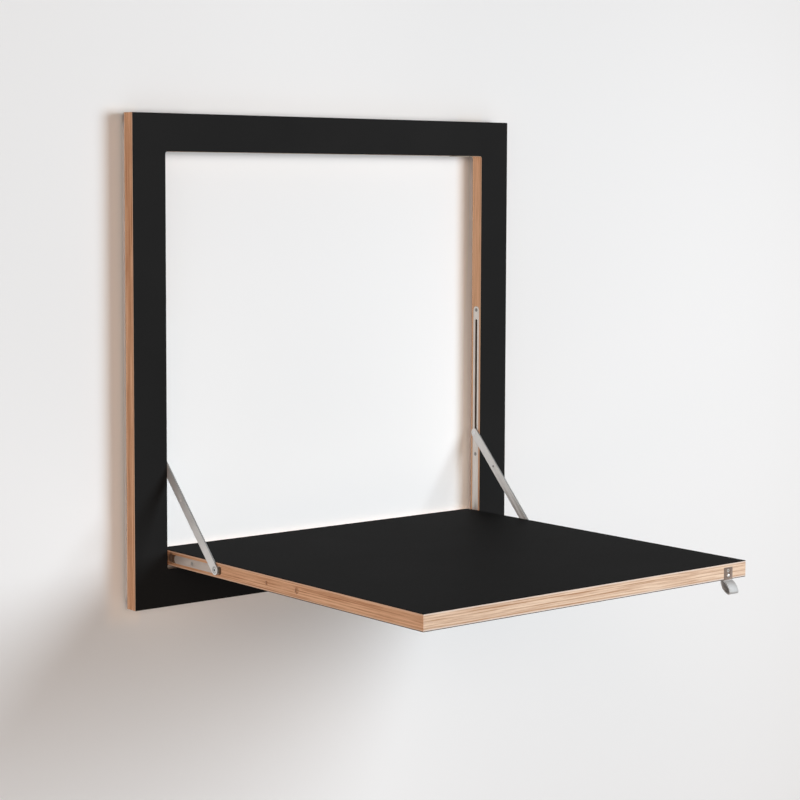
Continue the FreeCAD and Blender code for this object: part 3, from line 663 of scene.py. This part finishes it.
def one_sided(name, paint, own_light, corners):
    """A painted plane. Paint is a colour, or a function that gives it from x and the height.

    The share own_light of the plane is lit by itself, whatever the lamps do.
    """
    finish = bpy.data.materials.new(name)
    finish.use_nodes = True
    finish.node_tree.nodes.remove(finish.node_tree.nodes["Principled BSDF"])
    place = Wire(finish.node_tree).node("ShaderNodeTexCoord", output="Object")
    plaster = place.noise(30.0, 5.0).relief(0.05, 0.001)
    colour = paint(*place.axes("X", "Z")) if callable(paint) else (*paint, 1.0)
    coat = place.node("ShaderNodeBsdfDiffuse", {}, {"Color": colour, "Normal": plaster})
    if own_light:
        lit = place.node("ShaderNodeEmission", {}, {"Color": (0.88, 0.875, 0.865, 1.0)})
        coat = place.node("ShaderNodeMixShader", values={0: own_light, 1: coat, 2: lit})
    clear = place.node("ShaderNodeBsdfTransparent")
    behind = place.node("ShaderNodeNewGeometry", output="Backfacing")
    shown = place.node("ShaderNodeMixShader", values={0: behind, 1: coat, 2: clear})
    output = finish.node_tree.nodes["Material Output"]
    finish.node_tree.links.new(shown.socket, output.inputs["Surface"])
    mesh = bpy.data.meshes.new(name)
    mesh.from_pydata(corners, [], [(0, 1, 2, 3)])
    mesh.materials.append(finish)
    plane = bpy.data.objects.new(name, mesh)
    bpy.context.collection.objects.link(plane)
    plane.visible_diffuse = False
    plane.visible_glossy = False
    plane.visible_transmission = False
    plane.visible_shadow = False


def wall_paint_and_light(x, height):
    """Paler downwards and inside the frame, duller to its right, warm beside left-facing edges.

    All this is painted light on the wall's paint. Those edges throw light back into the gap
    behind them, where the wall is painted paler.
    """
    low_paint_and_light, high_paint_and_light, warm = (0.940, 0.940, 0.938), (0.867, 0.867, 0.865), (1.0, 0.95, 0.90)
    frame_middle = -0.268
    colour = ((height + 1.0) / 1.5).colour(low_paint_and_light, high_paint_and_light)
    from_middle = abs(x).maths("MAXIMUM", abs(height - frame_middle))
    inside = 1.0 - from_middle.between(0.256, 0.290)
    paler = ((height + 0.05) * -0.44).maths("MAXIMUM", 0.0) * inside
    duller = x.band(-0.1, 0.35, 0.4, 1.0) * (1.0 - inside) * 0.058

    # painted bounce light beside and behind the frame's edges
    level_with = height.band(-0.60, -0.57, 0.02, 0.05)
    hidden = height.band(-0.562, -0.550, 0.012, 0.024)
    beside_right = x.band(0.226, 0.244, 0.272, 0.282)
    close_right = x.band(0.241, 0.257, 0.272, 0.282)
    behind_right = x.band(0.2545, 0.2640, 0.272, 0.282)
    beside_left = x.band(-0.335, -0.310, -0.282, -0.272)
    behind_left = x.band(-0.2990, -0.2910, -0.282, -0.272)
    lower_down = ((height + 0.05) * -1.5).maths("MAXIMUM", 0.0)
    thrown_back = (behind_right + behind_left) * 3.0 + close_right * lower_down
    thrown_back = thrown_back * hidden + beside_left * level_with * 0.09
    colour = x.node("ShaderNodeVectorMath", {"operation": "SCALE"}, {
        0: colour, "Scale": 1.0 + paler - duller + thrown_back})
    return ((beside_right + beside_left) * level_with).laid_over(colour, warm, "MULTIPLY")


wall_y, floor_z, ceiling_z, reach = 0.0005, -1.2384, 4.0, 6.0
one_sided("wall", wall_paint_and_light, 0.0, [
    (-reach, wall_y, floor_z), (reach, wall_y, floor_z),
    (reach, wall_y, ceiling_z), (-reach, wall_y, ceiling_z)])
one_sided("floor", (0.80, 0.79, 0.77), 0.6, [
    (-reach, -reach, floor_z), (reach, -reach, floor_z),
    (reach, wall_y, floor_z), (-reach, wall_y, floor_z)])


# ---- Daylight --------------------------------------------------------------------------
# A round softbox about a metre across stands out to the right and doesn't fade with distance.
# Wide soft light comes from the left and the front, and a glow from the floor and the wall.

def lamp(name, kind, towards, energy, colour):
    light = bpy.data.lights.new(name, kind)
    light.energy = energy
    light.color = colour
    holder = bpy.data.objects.new(name, light)
    bpy.context.collection.objects.link(holder)
    holder.rotation_euler = towards.to_track_quat("Z", "Y").to_euler()
    return holder


def wide_lamp(name, azimuth, elevation, spread, energy, colour):
    """Light from azimuth degrees to the right of straight out from the wall."""
    a, e = math.radians(azimuth), math.radians(elevation)
    towards = Vector((math.sin(a) * math.cos(e), -math.cos(a) * math.cos(e), math.sin(e)))
    lamp(name, "SUN", towards, energy, colour).data.angle = math.radians(spread)


softbox_place, lit_place = Vector((0.92, -1.42, 0.03)), Vector((0.0, -0.1, -0.3))
softbox = lamp("softbox", "AREA", softbox_place - lit_place, 7.70, (0.853, 0.936, 1.0))
softbox.location = softbox_place
softbox.data.shape = "DISK"
softbox.data.size = 0.94
softbox.data.use_nodes = True
softbox_tree = softbox.data.node_tree
even = Wire(softbox_tree).node("ShaderNodeLightFalloff", {}, {"Strength": 1.0}, "Constant")
softbox_tree.links.new(even.socket, softbox_tree.nodes["Emission"].inputs["Strength"])
softbox.visible_camera = False
wide_lamp("left_light", -55.0, 10.0, 50.0, 0.60, (1.0, 0.75, 0.64))
wide_lamp("front_light", -18.0, 8.0, 36.0, 0.62, (1.0, 0.88, 0.76))

world = bpy.data.worlds.new("room")
bpy.context.scene.world = world
world.use_nodes = True
world.node_tree.nodes.clear()
air = Wire(world.node_tree)
room_shade, wall_glow, floor_glow = (0.02, 0.02, 0.02), (0.69, 0.67, 0.65), (0.64, 0.62, 0.62)
room_mirrored, wall_mirrored, floor_mirrored = (
    (0.34, 0.335, 0.33), (0.84, 0.84, 0.84), (0.74, 0.73, 0.72))
heading_y, heading_z = air.node("ShaderNodeTexCoord", output="Generated").axes("Y", "Z")
from_wall = heading_y.between(-0.1, 0.1)
from_floor = heading_z.between(-0.2, -0.6) * (1.0 - from_wall)
glow = from_floor.laid_over(from_wall.colour(room_shade, wall_glow), floor_glow)
mirrored = from_wall.colour(room_mirrored, wall_mirrored)
mirrored = heading_z.between(-0.25, -0.5).laid_over(mirrored, floor_mirrored)
camera_ray, glossy_ray, clear_ray = air.node("ShaderNodeLightPath", output=(
    "Is Camera Ray", "Is Glossy Ray", "Is Transmission Ray"))
light = air.node(
    "ShaderNodeMix", {"data_type": "RGBA"}, {0: glossy_ray, 6: glow, 7: mirrored}, output=2)
light = (camera_ray + clear_ray).maths("MINIMUM", 1.0).laid_over(light, (1.0, 1.0, 1.0))
backdrop = air.node("ShaderNodeBackground", {}, {"Color": light, "Strength": 1.0})
air.node("ShaderNodeOutputWorld", {}, {"Surface": backdrop}, None)


# ---- Camera ----------------------------------------------------------------------------
# The eye stands to the left, 2.1 m out from the wall and a little below the frame's top. The
# lens is long, and its view is shifted down by a sixteenth of the picture.

lens = bpy.data.cameras.new("eye")
lens.sensor_width = 36.0
lens.lens = 93.37
lens.shift_y = -0.0625
lens.clip_start = 0.05
lens.clip_end = 50.0
eye = bpy.data.objects.new("eye", lens)
bpy.context.collection.objects.link(eye)
swing, tilt, roll = (math.radians(degrees) for degrees in (-39.327, 90.0 - 4.56, 0.212))
turned = (
    Matrix.Rotation(swing, 4, "Z")
    @ Matrix.Rotation(tilt, 4, "X")
    @ Matrix.Rotation(roll, 4, "Z")
)
eye.matrix_world = Matrix.Translation((-1.6222, -2.1430, -0.0526)) @ turned
bpy.context.scene.camera = eye
bpy.context.scene.view_settings.view_transform = "Standard"
